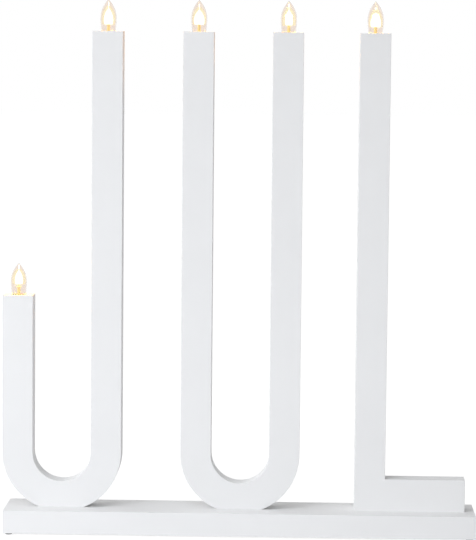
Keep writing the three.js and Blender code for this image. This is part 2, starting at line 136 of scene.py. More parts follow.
bpy.ops.object.select_all(action="DESELECT")
bpy.ops.mesh.primitive_plane_add(size=30)
table = bpy.context.object
table.name = "table_top"
sweep, tree = empty_material("white_paper_sweep")
paper = add_node(tree, "BsdfDiffuse", {"Color": linear("#f2f2f2")})
glow = add_node(tree, "Emission", {"Color": linear("#ffffff"), "Strength": 1.35})
share = add_node(tree, "Math", {0: seen_directly(tree), 1: 0.62}, operation="MULTIPLY")
surface = add_node(tree, "MixShader", {0: share.outputs[0], 1: paper.outputs[0], 2: glow.outputs[0]})
table.data.materials.append(surfaced(sweep, surface))

# A low softbox at the left, a smaller lamp above it, a broad one overhead, and a strip light that stands on
# the table in front, under the camera's view. Sizes and places are in metres, powers in watts.
for name, width, height, power, stands, aimed in (
        ("softbox", 0.7, 0.7, 5.9, (-1.3, -0.86, 0.31), (-0.25, 0, 0.2)),
        ("key_light", 0.4, 0.4, 4.2, (-1.1, -1.3, 1.3), (0, 0, 0.2)),
        ("top_light", 1.2, 1.2, 7.3, (-0.2, -0.6, 2.2), (0, 0, 0.2)),
        ("strip_light", 1.2, 0.06, 0.47, (-0.1, -0.5, 0.035), (-0.1, 0, 0.06))):
    lamp = bpy.data.objects.new(name, bpy.data.lights.new(name, "AREA"))
    bpy.context.scene.collection.objects.link(lamp)
    lamp.data.shape = "RECTANGLE"
    lamp.data.size = width
    lamp.data.size_y = height
    lamp.data.energy = power
    lamp.data.color = (0.92, 0.95, 1.0)
    lamp.location = stands
    lamp.rotation_euler = (Vector(aimed) - lamp.location).to_track_quat("-Z", "Y").to_euler()
    lamp.visible_camera = False
    lamp.visible_glossy = False
    lamp.visible_transmission = False


# Base board
# A length of 22 mm fibreboard, its arrises rounded over and all painted satin white with a small roller.
# A channel for the leads is milled along its underside, with a rebate round it for a cover.
def begin(add, name, size=(1, 1, 1), **settings):
    """Adds a primitive with nothing else selected, sizes it, and keeps its place and size in its mesh."""
    bpy.ops.object.select_all(action="DESELECT")
    add(**settings)
    piece = bpy.context.object
    piece.name = piece.data.name = name
    piece.scale = size
    bpy.ops.object.transform_apply(location=True, rotation=True, scale=True)
    return piece


def block(name, low, high):
    """A rectangular block between two corners in millimetres."""
    low, high = Vector(low) * mm, Vector(high) * mm
    return begin(bpy.ops.mesh.primitive_cube_add, name, (high - low) / 2, location=(low + high) / 2)


def rod(name, radius, low, high, sides=64):
    """A round rod along Z between the middles of its two ends, in millimetres."""
    low, high = Vector(low) * mm, Vector(high) * mm
    return begin(bpy.ops.mesh.primitive_cylinder_add, name, vertices=sides, radius=radius * mm,
                 depth=(high - low).length, location=(low + high) / 2,
                 rotation=(high - low).to_track_quat("Z", "Y").to_euler())


def edit(piece, what="FACE"):
    """Opens a piece alone for editing, with all its faces or edges selected."""
    bpy.ops.object.select_all(action="DESELECT")
    bpy.context.view_layer.objects.active = piece
    piece.select_set(True)
    bpy.ops.object.mode_set(mode="EDIT")
    bpy.ops.mesh.select_mode(type=what)
    bpy.ops.mesh.select_all(action="SELECT")


def pick(kind, test):
    """Deselects all of the piece being edited, then selects its faces or edges that pass the test."""
    bpy.ops.mesh.select_mode(type={"faces": "FACE", "edges": "EDGE"}[kind])
    bpy.ops.mesh.select_all(action="DESELECT")
    mesh = bmesh.from_edit_mesh(bpy.context.object.data)
    for element in getattr(mesh, kind):
        if test(element):
            element.select_set(True)
    mesh.select_flush_mode()
    bmesh.update_edit_mesh(bpy.context.object.data)


def round_over(width, segments=3, test=lambda edge: True):
    """Rounds the outer corners of the piece being edited, where they turn by more than 40 degrees."""
    pick("edges", lambda edge: len(edge.link_faces) == 2
         and edge.calc_face_angle_signed() > math.radians(40) and test(edge))
    bpy.ops.mesh.bevel(offset=width * mm, segments=segments, affect="EDGES")


def turned(name, profile, sides=48):
    """A round piece about the Z axis, drawn out ring by ring from (radius, height) in millimetres.
    A profile that ends where it began makes a ring, and any other is closed at both its ends."""
    speck = 0.0005
    radii = [max(radius, speck) for radius, _ in profile]
    heights = [height for _, height in profile]
    piece = begin(bpy.ops.mesh.primitive_circle_add, name, vertices=sides, radius=radii[0] * mm,
                  location=(0, 0, heights[0] * mm))
    edit(piece, "EDGE")
    ring = profile[0] == profile[-1]
    if not ring:
        bpy.ops.mesh.edge_face_add()
    for i in range(1, len(profile)):
        bpy.ops.mesh.extrude_edges_move(
            TRANSFORM_OT_translate={"value": (0, 0, (heights[i] - heights[i - 1]) * mm)})
        ratio = radii[i] / radii[i - 1]
        bpy.ops.transform.resize(value=(ratio, ratio, 1), center_override=(0, 0, 0))
    if not ring:
        bpy.ops.mesh.edge_face_add()
    bpy.ops.mesh.select_all(action="SELECT")
    bpy.ops.mesh.remove_doubles(threshold=0.003 * mm)
    bpy.ops.mesh.delete_loose(use_verts=True, use_edges=True)
    bpy.ops.mesh.select_all(action="SELECT")
    bpy.ops.mesh.normals_make_consistent(inside=False)
    bpy.ops.object.mode_set(mode="OBJECT")
    return piece


def moved(piece, x, y, z):
    """Moves a piece's mesh, in millimetres."""
    piece.data.transform(Matrix.Translation(Vector((x, y, z)) * mm))
    return piece


def combine(piece, tool, operation="DIFFERENCE"):
    """Cuts a tool out of a piece, or joins the two. Removes the tool and closes the cut's hair seams."""
    modifier = piece.modifiers.new("tool", "BOOLEAN")
    modifier.operation = operation
    modifier.solver = "EXACT"
    modifier.object = tool
    bpy.context.view_layer.objects.active = piece
    bpy.ops.object.modifier_apply(modifier="tool")
    bpy.data.objects.remove(tool)
    edit(piece)
    bpy.ops.mesh.remove_doubles(threshold=0.002 * mm)
    bpy.ops.object.mode_set(mode="OBJECT")


def smooth(piece, angle=35):
    """Shades a piece smooth up to its sharp corners, and keeps its flat faces flat."""
    bpy.ops.object.select_all(action="DESELECT")
    bpy.context.view_layer.objects.active = piece
    piece.select_set(True)
    bpy.ops.object.shade_smooth_by_angle(angle=math.radians(angle))
    modifier = piece.modifiers.new("flats", "WEIGHTED_NORMAL")
    modifier.keep_sharp = True
    bpy.ops.object.modifier_apply(modifier="flats")


def place(piece, body, slot, material, *nodes):
    """Gives a piece its body and its finish, if it has none yet, in place of the solids named."""
    if material:
        piece.data.materials.clear()
        piece.data.materials.append(material)
    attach(piece, body)
    if nodes:
        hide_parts(*nodes)


def middle(node):
    """Middle of a solid, in millimetres."""
    low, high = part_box(node)
    return (low + high) / 2 / mm


def satin_paint():
    """Satin acrylic paint on fibreboard. The roller leaves a fine stipple, and the coat varies a little."""
    material, tree = empty_material("satin_white_paint")
    place_on = add_node(tree, "TexCoord").outputs["Object"]
    # Roller stipple is 1 to 1.5 mm across. The coat's slow waves are 60 mm long.
    stipple = add_node(tree, "TexNoise", {"Vector": place_on, "Scale": 750, "Detail": 3, "Roughness": 0.55})
    waves = add_node(tree, "TexNoise", {"Vector": place_on, "Scale": 16, "Detail": 2})
    coat = add_node(tree, "MixRGB", {0: waves.outputs["Fac"], 1: linear("#f1f1f1"), 2: linear("#f5f5f5")})
    sheen = add_node(tree, "MapRange", {"Value": stipple.outputs["Fac"], "To Min": 0.58, "To Max": 0.72})
    slow = add_node(tree, "Bump", {"Height": waves.outputs["Fac"], "Strength": 0.5, "Distance": 0.0004})
    fine = add_node(tree, "Bump", {"Height": stipple.outputs["Fac"], "Strength": 0.5, "Distance": 0.0001,
                                   "Normal": slow.outputs["Normal"]})
    paint = add_node(tree, "BsdfPrincipled", {
        "Base Color": coat.outputs["Color"], "Roughness": sheen.outputs["Result"], "IOR": 1.35,
        "Normal": fine.outputs["Normal"]})
    return surfaced(material, paint)


white_paint = satin_paint()
arris = 0.35
board_low, board_high = (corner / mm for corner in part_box("base_board"))
board = block("base", board_low, board_high)
edit(board)
round_over(arris)
bpy.ops.object.mode_set(mode="OBJECT")

# The rebate leaves the cover some play all round, and the channel is narrower by the lap that it rests on.
cover_low, cover_high = (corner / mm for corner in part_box("base_cover"))
play, lap, channel_height = 0.3, 2.7, 8.5
combine(board, block("rebate", cover_low - Vector((play, play, 1)), cover_high + Vector((play, play, 0))))
combine(board, block("channel", cover_low + Vector((lap, lap, 0)),
                     cover_high + Vector((-lap, -lap, channel_height))))
for i in range(1, 7):
    x, y, _ = middle(f"screw_{i}")
    hole = turned("screw_hole", [(4.3, -1), (4.3, 0.5), (2.3, 3.1), (2.3, 23)])
    combine(board, moved(hole, x, y, board_low.z))
# The leads pass up through a hole under each upright's groove, and the cord comes in from behind.
lead_y = cover_low.y + lap + 2.55
groove_half = 2.25
for name in ("j_strip", "u_strip", "l_strip"):
    x = middle(name).x
    combine(board, rod("lead_hole", groove_half, (x, lead_y, 10), (x, lead_y, board_high.z + 1)))
inlet = middle("cord_grommet")
for name, radius, y in (("inlet", 4.6, cover_high.y - lap - 1), ("flange_seat", 6.5, board_high.y - 1.2)):
    combine(board, rod(name, radius, (inlet.x, y, inlet.z), (inlet.x, board_high.y + 1, inlet.z)))
smooth(board)
place(board, "stand", "white_painted_board", white_paint, "base_board")


# Cover of the channel
# A strip of brown hardboard, cut to the rebate and glued into it. Its solid is right as it is.
def hardboard_finish():
    """Tempered hardboard: pressed brown fibre with a smooth, slightly mottled face."""
    material, tree = empty_material("brown_hardboard")
    place_on = add_node(tree, "TexCoord").outputs["Object"]
    # Tangled fibres, 2 to 3 mm long.
    fibre = add_node(tree, "TexNoise", {
        "Vector": place_on, "Scale": 420, "Detail": 5, "Roughness": 0.7, "Distortion": 1.5})
    shade = add_node(tree, "MixRGB", {0: fibre.outputs["Fac"], 1: linear("#6f4f34"), 2: linear("#9a7652")})
    raised = add_node(tree, "Bump", {"Height": fibre.outputs["Fac"], "Strength": 0.5, "Distance": 0.0001})
    fibreboard = add_node(tree, "BsdfPrincipled", {
        "Base Color": shade.outputs["Color"], "Roughness": 0.72, "Normal": raised.outputs["Normal"]})
    return surfaced(material, fibreboard)


def dress(material, slot, *nodes):
    """Gives solids that stay as they are their finish."""
    for name in nodes:
        frame["nodes"][name].data.materials.clear()
        frame["nodes"][name].data.materials.append(material)


dress(hardboard_finish(), "hardboard", "base_cover")


# Pads
# Four round pads of grey foam rubber, punched from sheet and stuck on under the corners. Their lower edge is
# worn round.
def foam_finish():
    """Dense grey foam rubber: matt, with the fine open pores of its skin."""
    material, tree = empty_material("grey_foam_rubber")
    place_on = add_node(tree, "TexCoord").outputs["Object"]
    # Pores 0.3 to 0.5 mm across.
    pores = add_node(tree, "TexVoronoi", {"Vector": place_on, "Scale": 2400})
    depth = pores.outputs["Distance"]
    shade = add_node(tree, "MixRGB", {0: depth, 1: linear("#7e7e7c"), 2: linear("#a6a6a3")})
    raised = add_node(tree, "Bump", {"Height": depth, "Strength": 0.7, "Distance": 0.00015})
    foam = add_node(tree, "BsdfPrincipled", {
        "Base Color": shade.outputs["Color"], "Roughness": 0.9, "Normal": raised.outputs["Normal"]})
    return surfaced(material, foam)


def copied(piece, name, x, y, z):
    """A copy of a piece with its own mesh, moved by so many millimetres."""
    copy = piece.copy()
    copy.data = piece.data.copy()
    copy.name = copy.data.name = name
    bpy.context.scene.collection.objects.link(copy)
    return moved(copy, x, y, z)


foam = foam_finish()
pad = turned("foam_pad", [(3.3, 0), (3.3, 1.5)])
edit(pad)
round_over(0.35, test=lambda edge: edge.verts[0].co.z < 0.1 * mm)
bpy.ops.object.mode_set(mode="OBJECT")
smooth(pad)
for i in range(1, 5):
    at = middle(f"pad_{i}")
    place(copied(pad, f"foam_pad_{i}", at.x, at.y, 0), "stand", "grey_pad", foam, f"pad_{i}")
bpy.data.objects.remove(pad)


# Wood screws
# Countersunk steel screws with a cross recess, zinc plated, driven up through the base into each upright.
def threaded(piece, pitch, depth, low, high, crest=1.0, shape=1.0, nearest=0, furthest=99):
    """Rolls a right-hand screw thread into a round piece, by moving its rings in and out round the Z axis.
    The thread runs out over one pitch at each end of low to high. Sizes are in millimetres."""
    for vertex in piece.data.vertices:
        x, y, z = vertex.co / mm
        radius = math.hypot(x, y)
        if low < z < high and nearest < radius < furthest:
            phase = z / pitch - math.atan2(y, x) / (2 * math.pi)
            wave = (0.5 + 0.5 * math.cos(2 * math.pi * phase)) ** shape
            run_out = min(1, (z - low) / pitch, (high - z) / pitch)
            ratio = (radius + depth * run_out * (wave - 1 + crest)) / radius
            vertex.co.x *= ratio
            vertex.co.y *= ratio


def steps(low, high, step):
    """Heights from low to high, as evenly as the step allows."""
    count = max(1, round((high - low) / step))
    return [low + (high - low) * i / count for i in range(count + 1)]


def zinc_finish():
    """Bright zinc plate on steel: a cool grey metal with a faint crystal pattern."""
    material, tree = empty_material("zinc_plated_steel")
    place_on = add_node(tree, "TexCoord").outputs["Object"]
    # Crystals about 0.6 mm across.
    crystals = add_node(tree, "TexVoronoi", {"Vector": place_on, "Scale": 1600})
    shine = add_node(tree, "MapRange", {
        "Value": crystals.outputs["Distance"], "To Min": 0.24, "To Max": 0.42})
    zinc = add_node(tree, "BsdfPrincipled", {
        "Base Color": linear("#c6c8c8"), "Metallic": 1.0, "Roughness": shine.outputs["Result"]})
    return surfaced(material, zinc)


zinc = zinc_finish()
screw = turned("wood_screw", [
    (4, 0), (4, 0.15), (2, 2.6), (2, 9), *[(1.45, z) for z in steps(9.3, 36, 0.25)], (0, 39.5)], 32)
threaded(screw, 2.0, 0.5, 9, 37, shape=3)
# The cross recess is cut with two blades that narrow inwards.
for x, y in ((2.6, 0.5), (0.5, 2.6)):
    recess = block("recess", (-x, -y, -1), (x, y, 1.6))
    edit(recess)
    pick("faces", lambda face: face.normal.z > 0.9)
    bpy.ops.transform.resize(value=(0.7, 0.7, 1), center_override=(0, 0, 0))
    bpy.ops.object.mode_set(mode="OBJECT")
    combine(screw, recess)
smooth(screw)
for i in range(1, 7):
    at = middle(f"screw_{i}")
    copy = copied(screw, f"wood_screw_{i}", at.x, at.y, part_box(f"screw_{i}")[0].z / mm)
    place(copy, "stand", "zinc_screw", zinc, f"screw_{i}")
bpy.data.objects.remove(screw)


# Cord grommet
# A moulded black rubber bush that lines the cord's way in through the back edge of the base.
def rubber_finish():
    """Black moulded rubber: dull, with a light bloom and a fine grain from the mould."""
    material, tree = empty_material("black_rubber")
    place_on = add_node(tree, "TexCoord").outputs["Object"]
    # Mould grain, 0.7 mm across.
    grain = add_node(tree, "TexNoise", {"Vector": place_on, "Scale": 1500, "Detail": 2})
    shade = add_node(tree, "MixRGB", {0: grain.outputs["Fac"], 1: linear("#1d1d1d"), 2: linear("#2c2c2b")})
    raised = add_node(tree, "Bump", {"Height": grain.outputs["Fac"], "Strength": 0.4, "Distance": 0.00005})
    rubber = add_node(tree, "BsdfPrincipled", {
        "Base Color": shade.outputs["Color"], "Roughness": 0.66, "Normal": raised.outputs["Normal"]})
    return surfaced(material, rubber)


grommet_low, grommet_high = (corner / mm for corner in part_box("cord_grommet"))
length = grommet_high.y - grommet_low.y
grommet = turned("grommet", [
    (3.1, 0), (4.3, 0), (4.3, length - 1.2), (6.2, length - 1.2), (6.2, length), (3.1, length), (3.1, 0)])
edit(grommet)
round_over(0.3)
bpy.ops.object.mode_set(mode="OBJECT")
grommet.data.transform(Matrix.Rotation(math.radians(-90), 4, "X"))
moved(grommet, inlet.x, grommet_low.y, inlet.z)
smooth(grommet)
place(grommet, "stand", "black_rubber", rubber_finish(), "cord_grommet")


# The two bent uprights
# Each is sawn in one piece from 22 mm fibreboard, two arms and the half ring between them, cut flat below.
# The arms are bored for the holders, and a groove for the leads, with a rebate for its strip, runs behind.
j_low, j_high = (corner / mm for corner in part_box("j_upright"))
front, back, tall = j_low.y, j_high.y, j_high.z
arm_middle = (front + back) / 2
base_top = board_high.z
arm_width = 29.2
# Radius of the half ring along the arms' middles, height of its centre, and height of the short arm.
track = 42.45
spring = base_top + 52.85
short = tall - 252
# The strip and its rebate, the groove's depth, and how far below an arm's top the rebate and groove end.
strip_thick, strip_half, rebate_half = 1.5, 4.7, 4.7 + play
groove_depth = 3.9
rebate_end, groove_end = 23, 27
bore_radius = 7.6


def bent_bar(name, width, y_low, y_high, centre, left_top, right_top):
    """A flat bar that comes down one arm, turns through a half ring and goes up the other."""
    bar = begin(bpy.ops.mesh.primitive_plane_add, name, (width / 2 * mm, (y_high - y_low) / 2 * mm, 1),
                location=Vector((centre - track, (y_low + y_high) / 2, left_top)) * mm)
    edit(bar)
    bpy.ops.mesh.extrude_region_move(TRANSFORM_OT_translate={"value": (0, 0, (spring - left_top) * mm)})
    bpy.ops.mesh.spin(steps=64, angle=math.pi, center=Vector((centre, 0, spring)) * mm, axis=(0, 1, 0))
    bpy.ops.mesh.extrude_region_move(TRANSFORM_OT_translate={"value": (0, 0, (right_top - spring) * mm)})
    bpy.ops.mesh.select_all(action="SELECT")
    bpy.ops.mesh.remove_doubles(threshold=0.001 * mm)
    bpy.ops.mesh.normals_make_consistent(inside=False)
    bpy.ops.object.mode_set(mode="OBJECT")
    return bar


def bore_socket(upright, x, top):
    """Bores an arm's end for its lamp holder, opens the bore to the groove, and eases its mouth."""
    combine(upright, rod("bore", bore_radius, (x, arm_middle, top - 34), (x, arm_middle, top + 1)))
    combine(upright, block("window", (x - 2.2, arm_middle, top - 33.8), (x + 2.2, back - 2.7, top - 27.2)))
    edit(upright)
    pick("edges", lambda edge: all(abs(v.co.z / mm - top) < 0.01 and abs(math.hypot(
        v.co.x / mm - x, v.co.y / mm - arm_middle) - bore_radius) < 0.05 for v in edge.verts))
    bpy.ops.mesh.bevel(offset=0.3 * mm, segments=2, affect="EDGES")
    bpy.ops.object.mode_set(mode="OBJECT")


def screw_holes(upright, *names):
    """Pilot holes for the wood screws."""
    for name in names:
        x, y, _ = middle(name)
        combine(upright, rod("pilot", 2.3, (x, y, base_top - 1), (x, y, base_top + 18.3), 32))


def bent_route(name, half, y_low, y_high, centre, left_top, right_top, foot):
    """The way of the groove or of its strip: the half ring with its arms, and a stub down to the base."""
    route = bent_bar(name, 2 * half, y_low, y_high, centre, left_top, right_top)
    stub = block("stub", (centre - half, y_low, foot), (centre + half, y_high, spring - track))
    combine(route, stub, "UNION")
    return route


for letter, number, left_top in (("j", 1, short), ("u", 3, tall)):
    centre = middle(f"{letter}_strip").x
    upright = bent_bar(f"{letter}_board", arm_width, front, back, centre, left_top, tall)
    edit(upright)
    round_over(arris)
    bpy.ops.mesh.select_all(action="SELECT")
    bpy.ops.mesh.bisect(plane_co=(0, 0, base_top * mm), plane_no=(0, 0, 1), use_fill=True, clear_inner=True)
    bpy.ops.object.mode_set(mode="OBJECT")
    combine(upright, bent_route("rebate", rebate_half, back - strip_thick, back + 1, centre,
                                left_top - rebate_end, tall - rebate_end, base_top - 1))
    combine(upright, bent_route("groove", groove_half, back - groove_depth, back + 0.5, centre,
                                left_top - groove_end, tall - groove_end, base_top - 1.5))
    bore_socket(upright, centre - track, left_top)
    bore_socket(upright, centre + track, tall)
    screw_holes(upright, f"screw_{number}", f"screw_{number + 1}")
    smooth(upright)
    place(upright, "stand", "white_painted_board", white_paint, f"{letter}_upright")

    # Its strip of 1.5 mm hardboard, glued in flush and painted over with the rest.
    strip = bent_route(f"{letter}_groove_strip", strip_half, back - strip_thick, back, centre,
                       left_top - rebate_end - play, tall - rebate_end - play, base_top + play)
    smooth(strip)
    place(strip, "stand", "white_painted_board", white_paint, f"{letter}_strip")


# The angled upright
# Sawn from the same board: one arm with a low foot to its right, bored and grooved like the others.
l_low, l_high = (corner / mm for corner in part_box("l_upright"))
l_arm = middle("l_strip").x
foot_top = base_top + 30.8
angle = block("l_board", l_low, (l_high.x, l_high.y, foot_top))
edit(angle)
arm_side = (l_low.x + arm_width) * mm
bpy.ops.mesh.bisect(plane_co=(arm_side, 0, 0), plane_no=(1, 0, 0))
pick("faces", lambda face: face.normal.z > 0.9 and face.calc_center_median().x < arm_side)
bpy.ops.mesh.extrude_region_move(TRANSFORM_OT_translate={"value": (0, 0, (tall - foot_top) * mm)})
bpy.ops.mesh.select_all(action="SELECT")
bpy.ops.mesh.dissolve_limited(angle_limit=math.radians(1))
round_over(arris, test=lambda edge: max(v.co.z for v in edge.verts) > (base_top + 0.01) * mm)
bpy.ops.object.mode_set(mode="OBJECT")
for name, half, depth, reach, end in (
        ("rebate", rebate_half, strip_thick, 1, rebate_end),
        ("groove", groove_half, groove_depth, 0, groove_end)):
    combine(angle, block(name, (l_arm - half, back - depth, base_top - 1),
                         (l_arm + half, back + reach, tall - end)))
bore_socket(angle, l_arm, tall)
screw_holes(angle, "screw_5", "screw_6")
smooth(angle)
place(angle, "stand", "white_painted_board", white_paint, "l_upright")

strip = block("l_groove_strip", *(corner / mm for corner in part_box("l_strip")))
edit(strip)
round_over(0.15, 1)
bpy.ops.object.mode_set(mode="OBJECT")
smooth(strip)
place(strip, "stand", "white_painted_board", white_paint, "l_strip")


# Leads
# Two thin insulated wires in each arm. They lie in the grooves and the channel, out of sight, and their
# solids are right as they are.
def lead_finish():
    """Soft PVC insulation on thin wire: off-white and slightly glossy."""
    material, tree = empty_material("white_pvc_insulation")
    place_on = add_node(tree, "TexCoord").outputs["Object"]
    # Patches of grime, 15 to 20 mm long.
    soil = add_node(tree, "TexNoise", {"Vector": place_on, "Scale": 60, "Detail": 2})
    shade = add_node(tree, "MixRGB", {0: soil.outputs["Fac"], 1: linear("#e4e1d8"), 2: linear("#efede6")})
    pvc = add_node(tree, "BsdfPrincipled", {
        "Base Color": shade.outputs["Color"], "Roughness": 0.42, "IOR": 1.53})
    return surfaced(material, pvc)


dress(lead_finish(), "lead_insulation", *[f"lead_{i}" for i in range(1, 7)])


# Lamp holders
# A cup of moulded white plastic, pushed into each arm's bore. Its floor carries the centre contact, and the
# skirt below the floor shields the bare ends of the leads.
def holder_finish():
    """Moulded polyester: white, smooth and slightly glossy, with a faint texture from the mould."""
    material, tree = empty_material("moulded_white_polyester")
    place_on = add_node(tree, "TexCoord").outputs["Object"]
    # Spark-eroded mould texture, 0.5 mm across.
    grain = add_node(tree, "TexNoise", {"Vector": place_on, "Scale": 2000, "Detail": 2})
    shade = add_node(tree, "MixRGB", {0: grain.outputs["Fac"], 1: linear("#e9e7e1"), 2: linear("#f1efea")})
    raised = add_node(tree, "Bump", {"Height": grain.outputs["Fac"], "Strength": 0.3, "Distance": 0.00003})
    plastic = add_node(tree, "BsdfPrincipled", {
        "Base Color": shade.outputs["Color"], "Roughness": 0.38, "IOR": 1.57,
        "Normal": raised.outputs["Normal"]})
    return surfaced(material, plastic)


def arm_end(i):
    """Middle of an arm's end, 5 mm over its lamp holder, in millimetres."""
    holder_low, holder_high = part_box(f"holder_{i}")
    return Vector((*((holder_low + holder_high) / 2 / mm).xy, holder_high.z / mm + 5))


def on_every_arm(piece, name, body, slot, material, node=None):
    """Sets a copy of a piece, drawn with its arm's end at the origin, on each of the five arms."""
    for i in range(1, 6):
        copy = copied(piece, f"{name}_{i}", *arm_end(i))
        place(copy, body.format(i), slot, material, *([f"{node}_{i}"] if node else []))
    bpy.data.objects.remove(piece)


holder = turned("holder", [(5.8, -20.9), (5.8, -23.9), (7.3, -23.9), (7.3, -5), (5.8, -5), (5.8, -17.9)], 64)
edit(holder)
round_over(0.3, 2)
bpy.ops.object.mode_set(mode="OBJECT")
combine(holder, rod("rivet_hole", 1.3, (0, 0, -22), (0, 0, -17), 32))
combine(holder, rod("lead_hole", 1.2, (-1.9, 4.19, -22), (-1.9, 4.19, -17), 32))
smooth(holder)
on_every_arm(holder, "lamp_holder", "stand", "holder_plastic", holder_finish(), "holder")


# Screw shells and centre contacts
# Sheet brass: a shell rolled with the lamp's thread, pressed into the holder, and a rivet through its floor.
def brass_finish():
    """Drawn sheet brass, lightly tarnished: warm yellow metal, duller and browner in soft patches."""
    material, tree = empty_material("drawn_sheet_brass")
    place_on = add_node(tree, "TexCoord").outputs["Object"]
    # Patches of tarnish are 3 to 5 mm across.
    patches = add_node(tree, "TexNoise", {"Vector": place_on, "Scale": 250, "Detail": 4, "Roughness": 0.6})
    shade = add_node(tree, "MixRGB", {0: patches.outputs["Fac"], 1: linear("#e3c272"), 2: linear("#c9a35c")})
    shine = add_node(tree, "MapRange", {"Value": patches.outputs["Fac"], "To Min": 0.18, "To Max": 0.42})
    brass = add_node(tree, "BsdfPrincipled", {
        "Base Color": shade.outputs["Color"], "Metallic": 1.0, "Roughness": shine.outputs["Result"]})
    return surfaced(material, brass)


brass = brass_finish()
lamp_pitch = 25.4 / 14
shell_heights = steps(-17.6, -6.5, 0.2)
shell = turned("shell", [*[(4.505, z) for z in shell_heights], *[(4.855, z) for z in shell_heights[::-1]],
                         (4.505, -17.6)])
threaded(shell, lamp_pitch, 0.51, -25, 0)
smooth(shell, 50)
on_every_arm(shell, "screw_shell", "stand", "brass", brass, "sleeve")

rivet = turned("rivet", [
    (0, -22), (1, -22), (1, -17.9), (1.9, -17.9), (2.2, -17.75), (2.2, -17.5), (1.9, -17.25), (1.1, -17.12),
    (0, -17.1)], 32)
smooth(rivet)
on_every_arm(rivet, "centre_contact", "stand", "brass", brass, "contact")


# Lamp caps
# The lamp's own screw cap, spun from brass with a rolled rim. Its foot is closed with black glass, and a
# drop of solder in the middle of the glass is the lamp's centre contact.
cap = turned("cap", [
    (0, -14.5), (3.8, -14.5), (4.2, -14.3), *[(4.51, z) for z in steps(-14.1, -6.3, 0.2)],
    (4.6, -6.2), (5.1, -6.2), (5.2, -6.05), (5.2, -5.15), (5.1, -5),
    (3.995, -5), (3.895, -5.1), (3.895, -13.8), (3.6, -13.9), (0, -13.9)])
threaded(cap, lamp_pitch, 0.51, -14.3, -6.2, crest=0.5, nearest=4.3, furthest=4.55)
smooth(cap, 50)
on_every_arm(cap, "lamp_cap", "lamp_{}", "brass", brass, "cap")


def solder_finish():
    """Tin solder, melted on and cooled in a drop: a grey metal with a dull, slightly crystalline skin."""
    material, tree = empty_material("tin_solder")
    place_on = add_node(tree, "TexCoord").outputs["Object"]
    # Crystals in the skin are about 0.6 mm across.
    crystals = add_node(tree, "TexVoronoi", {"Vector": place_on, "Scale": 1600})
    shine = add_node(tree, "MapRange", {
        "Value": crystals.outputs["Distance"], "To Min": 0.28, "To Max": 0.5})
    tin = add_node(tree, "BsdfPrincipled", {
        "Base Color": linear("#bfc0bf"), "Metallic": 1.0, "Roughness": shine.outputs["Result"]})
    return surfaced(material, tin)


def insulator_finish():
    """Black vitrite, the glass poured into a lamp cap's foot: almost black, glossy and a little rippled."""
    material, tree = empty_material("black_vitrite")
    place_on = add_node(tree, "TexCoord").outputs["Object"]
    # Ripples 2 mm long.
    ripples = add_node(tree, "TexNoise", {"Vector": place_on, "Scale": 500, "Detail": 2})
    shade = add_node(tree, "MixRGB", {0: ripples.outputs["Fac"], 1: linear("#141312"), 2: linear("#24221f")})
    raised = add_node(tree, "Bump", {"Height": ripples.outputs["Fac"], "Strength": 0.5, "Distance": 0.0001})
    vitrite = add_node(tree, "BsdfPrincipled", {
        "Base Color": shade.outputs["Color"], "Roughness": 0.12, "IOR": 1.52,
        "Normal": raised.outputs["Normal"]})
    return surfaced(material, vitrite)


solder_edge = -15.8
tip = turned("tip", [
    (0, -16.8), (0.8, -16.72), (1.35, -16.5), (1.6, -16.15), (1.6, solder_edge),
    (2.6, -15.35), (3.2, -15.0), (3.4, -14.8), (0, -14.8)], 32)
tip.data.materials.append(solder_finish())
tip.data.materials.append(insulator_finish())
for face in tip.data.polygons:
    face.material_index = 0 if face.center.z < solder_edge * mm else 1
smooth(tip)
on_every_arm(tip, "lamp_tip", "lamp_{}_tip", "solder", None, "tip")


# Glass mounts
# Inside each lamp a pressed glass mount stands on the neck. Its two wires pass a mica disk, which keeps the
# heat off the cap, and hold the coiled filament. The lit filament turns the mount gold.
def mount_finish():
    """Clear lead glass round a wire, seen lit from above: deep gold, paler where the glass is thick."""
    material, tree = empty_material("lit_glass_mount")
    place_on = add_node(tree, "TexCoord").outputs["Object"]
    # Streaks in the drawn glass are 0.7 mm apart.
    streaks = add_node(tree, "TexNoise", {"Vector": place_on, "Scale": 1400, "Detail": 2})
    shade = add_node(tree, "MixRGB", {0: streaks.outputs["Fac"], 1: linear("#f7e59e"), 2: linear("#efd68c")})
    # The gold base colour and the emission are painted light: the filament's glow in the clear glass, which
    # gives no light of its own.
    lead_glass = add_node(tree, "BsdfPrincipled", {
        "Base Color": linear("#b9a46a"), "Roughness": 0.15, "IOR": 1.56,
        "Emission Color": shade.outputs["Color"], "Emission Strength": 0.6})
    return surfaced(material, lead_glass)


mount = turned("mount", [
    (0, -8), (2.5, -8), (2.695, -7.8), (2.695, -7.4), (2.2, -6.8), (1.7, -6.2), (1.5, -5.4), (1.5, 5.6),
    (1.3, 6.4), (1.3, 6.9), (2.8, 6.9), (3, 7.0), (3, 7.4), (2.8, 7.5), (0, 7.5)], 32)
for x in (-0.7, 0.7):
    combine(mount, rod("wire", 0.3, (x, 0, 7.2), (2 * x, 0, 14), 16), "UNION")
filament = turned("filament", [(0, 8.3), *[(0.3, z) for z in steps(8.4, 21.3, 0.1)], (0, 21.4)], 16)
threaded(filament, 0.55, 0.24, 8.4, 21.3)


def join(piece, other):
    """Puts another piece's mesh into a piece's, beside what is there."""
    bpy.ops.object.select_all(action="DESELECT")
    other.select_set(True)
    piece.select_set(True)
    bpy.context.view_layer.objects.active = piece
    bpy.ops.object.join()


join(mount, filament)
smooth(mount, 45)
on_every_arm(mount, "glass_mount", "lamp_{}", "lamp_stem", mount_finish(), "stem")


